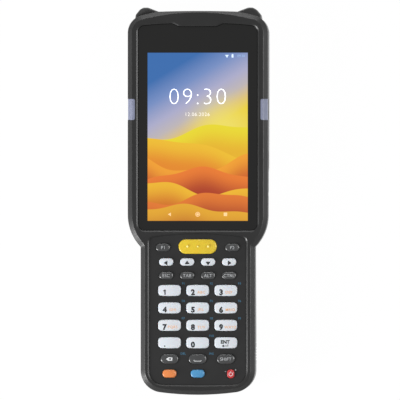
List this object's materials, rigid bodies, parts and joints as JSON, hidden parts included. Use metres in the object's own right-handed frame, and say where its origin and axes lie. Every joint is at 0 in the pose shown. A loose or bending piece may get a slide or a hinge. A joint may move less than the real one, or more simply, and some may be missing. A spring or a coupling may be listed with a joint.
{
  "type": "handheld barcode data terminal",
  "caption": "Straight handheld data terminal with a touch display, a keypad on a narrower grip, a scan window in its top end and a clip-in battery in its back.",
  "frame": {"origin": "middle of the footprint, on the surface that the terminal lies on with its back down", "axes": "+Z out of the screen, +Y along the length towards the scan window's end, +X to the user's right"},
  "size_m": [0.0732, 0.2022, 0.0345],
  "materials": {
    "housing": "fine matt texture, near black",
    "keypad_black": "smooth satin, black",
    "cover_glass": "gloss, black outside the display's picture",
    "white_key": "moulded white plastic with printed legends",
    "dark_key": "dark grey plastic with pale legends",
    "yellow_key": "yellow plastic",
    "orange_key": "orange plastic",
    "blue_key": "blue plastic",
    "red_key": "red plastic",
    "light_pipe": "cloudy, lavender-grey clear plastic",
    "scan_window_tint": "dark red tinted window",
    "display_tray": "pressed steel",
    "light_alloy": "cast, bead-blasted",
    "circuit_board": "green solder mask",
    "tin_plate": "tinned",
    "screw_steel": "blackened steel",
    "black_metal": "black",
    "black_plastic": "black",
    "latch_plastic": "dark grey",
    "button_rubber": "soft black",
    "seal_rubber": "soft black",
    "silicone": "pale grey silicone",
    "cell_can": "wrapped cells"
  },
  "bodies": {
    "casing": {"front_housing": "housing", "rear_housing": "housing", "scan_end_cap": "housing", "scan_window": "scan_window_tint", "scan_engine": "black_metal", "touch_panel": "cover_glass", "display_module": "display_tray", "chassis_plate": "light_alloy", "main_board": "circuit_board", "shield_cans": "tin_plate", "case_seal": "seal_rubber", "case_screws": "screw_steel", "loudspeaker": "black_plastic", "dock_connector": "black_plastic", "strap_bar": "screw_steel", "light_pipe_right": "light_pipe", "light_pipe_left": "light_pipe", "keypad_plate": "keypad_black", "keypad_mat": "silicone", "keypad_board": "circuit_board", "dome_switches": "tin_plate", "side_switches": "black_plastic", "battery_connector": "black_plastic"},
    "key_p1": {"key_p1": "dark_key"},
    "key_scan": {"key_scan": "yellow_key"},
    "key_p2": {"key_p2": "dark_key"},
    "key_left": {"key_left": "white_key"},
    "key_up": {"key_up": "white_key"},
    "key_down": {"key_down": "white_key"},
    "key_right": {"key_right": "white_key"},
    "key_esc": {"key_esc": "dark_key"},
    "key_tab": {"key_tab": "dark_key"},
    "key_alt": {"key_alt": "dark_key"},
    "key_ctrl": {"key_ctrl": "dark_key"},
    "key_1": {"key_1": "white_key"},
    "key_2": {"key_2": "white_key"},
    "key_3": {"key_3": "white_key"},
    "key_4": {"key_4": "white_key"},
    "key_5": {"key_5": "white_key"},
    "key_6": {"key_6": "white_key"},
    "key_7": {"key_7": "white_key"},
    "key_8": {"key_8": "white_key"},
    "key_9": {"key_9": "white_key"},
    "key_point": {"key_point": "white_key"},
    "key_0": {"key_0": "white_key"},
    "key_enter": {"key_enter": "white_key"},
    "key_backspace": {"key_backspace": "dark_key"},
    "key_space": {"key_space": "dark_key"},
    "key_shift": {"key_shift": "dark_key"},
    "key_orange": {"key_orange": "orange_key"},
    "key_blue": {"key_blue": "blue_key"},
    "key_power": {"key_power": "red_key"},
    "scan_button_left": {"scan_button_left": "button_rubber"},
    "scan_button_right": {"scan_button_right": "button_rubber"},
    "volume_rocker": {"volume_rocker": "button_rubber"},
    "battery": {"battery_shell": "housing", "battery_lid": "black_plastic", "battery_cells": "cell_can"},
    "battery_latch_left": {"battery_latch_left": "latch_plastic"},
    "battery_latch_right": {"battery_latch_right": "latch_plastic"}
  },
  "joints": [
    {"name": "battery_removal", "type": "slide", "parent": "casing", "child": "battery", "axis": [0, 0, -1], "range_m": [0, 0.03]},
    {"name": "battery_latch_left_squeeze", "type": "slide", "parent": "battery", "child": "battery_latch_left", "axis": [1, 0, 0], "range_m": [0, 0.0014], "stiffness_N_per_m": 500},
    {"name": "battery_latch_right_squeeze", "type": "slide", "parent": "battery", "child": "battery_latch_right", "axis": [-1, 0, 0], "range_m": [0, 0.0014], "stiffness_N_per_m": 500},
    {"name": "scan_button_left_press", "type": "slide", "parent": "casing", "child": "scan_button_left", "axis": [1, 0, 0], "range_m": [0, 0.0006], "stiffness_N_per_m": 400},
    {"name": "scan_button_right_press", "type": "slide", "parent": "casing", "child": "scan_button_right", "axis": [-1, 0, 0], "range_m": [0, 0.0006], "stiffness_N_per_m": 400},
    {"name": "volume_rocker_tip", "type": "hinge", "parent": "casing", "child": "volume_rocker", "pos_m": [-0.034, 0.0395, 0.0152], "axis": [0, 0, 1], "range_deg": [-3, 3], "stiffness_Nm_per_rad": 0.3},
    {"name": "key_p1_press", "type": "slide", "parent": "casing", "child": "key_p1", "axis": [0, 0, -1], "range_m": [0, 0.0008], "stiffness_N_per_m": 200},
    {"name": "key_scan_press", "type": "slide", "parent": "casing", "child": "key_scan", "axis": [0, 0, -1], "range_m": [0, 0.0008], "stiffness_N_per_m": 200},
    {"name": "key_p2_press", "type": "slide", "parent": "casing", "child": "key_p2", "axis": [0, 0, -1], "range_m": [0, 0.0008], "stiffness_N_per_m": 200},
    {"name": "key_left_press", "type": "slide", "parent": "casing", "child": "key_left", "axis": [0, 0, -1], "range_m": [0, 0.0008], "stiffness_N_per_m": 200},
    {"name": "key_up_press", "type": "slide", "parent": "casing", "child": "key_up", "axis": [0, 0, -1], "range_m": [0, 0.0008], "stiffness_N_per_m": 200},
    {"name": "key_down_press", "type": "slide", "parent": "casing", "child": "key_down", "axis": [0, 0, -1], "range_m": [0, 0.0008], "stiffness_N_per_m": 200},
    {"name": "key_right_press", "type": "slide", "parent": "casing", "child": "key_right", "axis": [0, 0, -1], "range_m": [0, 0.0008], "stiffness_N_per_m": 200},
    {"name": "key_esc_press", "type": "slide", "parent": "casing", "child": "key_esc", "axis": [0, 0, -1], "range_m": [0, 0.0008], "stiffness_N_per_m": 200},
    {"name": "key_tab_press", "type": "slide", "parent": "casing", "child": "key_tab", "axis": [0, 0, -1], "range_m": [0, 0.0008], "stiffness_N_per_m": 200},
    {"name": "key_alt_press", "type": "slide", "parent": "casing", "child": "key_alt", "axis": [0, 0, -1], "range_m": [0, 0.0008], "stiffness_N_per_m": 200},
    {"name": "key_ctrl_press", "type": "slide", "parent": "casing", "child": "key_ctrl", "axis": [0, 0, -1], "range_m": [0, 0.0008], "stiffness_N_per_m": 200},
    {"name": "key_1_press", "type": "slide", "parent": "casing", "child": "key_1", "axis": [0, 0, -1], "range_m": [0, 0.0008], "stiffness_N_per_m": 200},
    {"name": "key_2_press", "type": "slide", "parent": "casing", "child": "key_2", "axis": [0, 0, -1], "range_m": [0, 0.0008], "stiffness_N_per_m": 200},
    {"name": "key_3_press", "type": "slide", "parent": "casing", "child": "key_3", "axis": [0, 0, -1], "range_m": [0, 0.0008], "stiffness_N_per_m": 200},
    {"name": "key_4_press", "type": "slide", "parent": "casing", "child": "key_4", "axis": [0, 0, -1], "range_m": [0, 0.0008], "stiffness_N_per_m": 200},
    {"name": "key_5_press", "type": "slide", "parent": "casing", "child": "key_5", "axis": [0, 0, -1], "range_m": [0, 0.0008], "stiffness_N_per_m": 200},
    {"name": "key_6_press", "type": "slide", "parent": "casing", "child": "key_6", "axis": [0, 0, -1], "range_m": [0, 0.0008], "stiffness_N_per_m": 200},
    {"name": "key_7_press", "type": "slide", "parent": "casing", "child": "key_7", "axis": [0, 0, -1], "range_m": [0, 0.0008], "stiffness_N_per_m": 200},
    {"name": "key_8_press", "type": "slide", "parent": "casing", "child": "key_8", "axis": [0, 0, -1], "range_m": [0, 0.0008], "stiffness_N_per_m": 200},
    {"name": "key_9_press", "type": "slide", "parent": "casing", "child": "key_9", "axis": [0, 0, -1], "range_m": [0, 0.0008], "stiffness_N_per_m": 200},
    {"name": "key_point_press", "type": "slide", "parent": "casing", "child": "key_point", "axis": [0, 0, -1], "range_m": [0, 0.0008], "stiffness_N_per_m": 200},
    {"name": "key_0_press", "type": "slide", "parent": "casing", "child": "key_0", "axis": [0, 0, -1], "range_m": [0, 0.0008], "stiffness_N_per_m": 200},
    {"name": "key_enter_press", "type": "slide", "parent": "casing", "child": "key_enter", "axis": [0, 0, -1], "range_m": [0, 0.0008], "stiffness_N_per_m": 200},
    {"name": "key_backspace_press", "type": "slide", "parent": "casing", "child": "key_backspace", "axis": [0, 0, -1], "range_m": [0, 0.0008], "stiffness_N_per_m": 200},
    {"name": "key_space_press", "type": "slide", "parent": "casing", "child": "key_space", "axis": [0, 0, -1], "range_m": [0, 0.0008], "stiffness_N_per_m": 200},
    {"name": "key_shift_press", "type": "slide", "parent": "casing", "child": "key_shift", "axis": [0, 0, -1], "range_m": [0, 0.0008], "stiffness_N_per_m": 200},
    {"name": "key_orange_press", "type": "slide", "parent": "casing", "child": "key_orange", "axis": [0, 0, -1], "range_m": [0, 0.0008], "stiffness_N_per_m": 200},
    {"name": "key_blue_press", "type": "slide", "parent": "casing", "child": "key_blue", "axis": [0, 0, -1], "range_m": [0, 0.0008], "stiffness_N_per_m": 200},
    {"name": "key_power_press", "type": "slide", "parent": "casing", "child": "key_power", "axis": [0, 0, -1], "range_m": [0, 0.0008], "stiffness_N_per_m": 200}
  ]
}
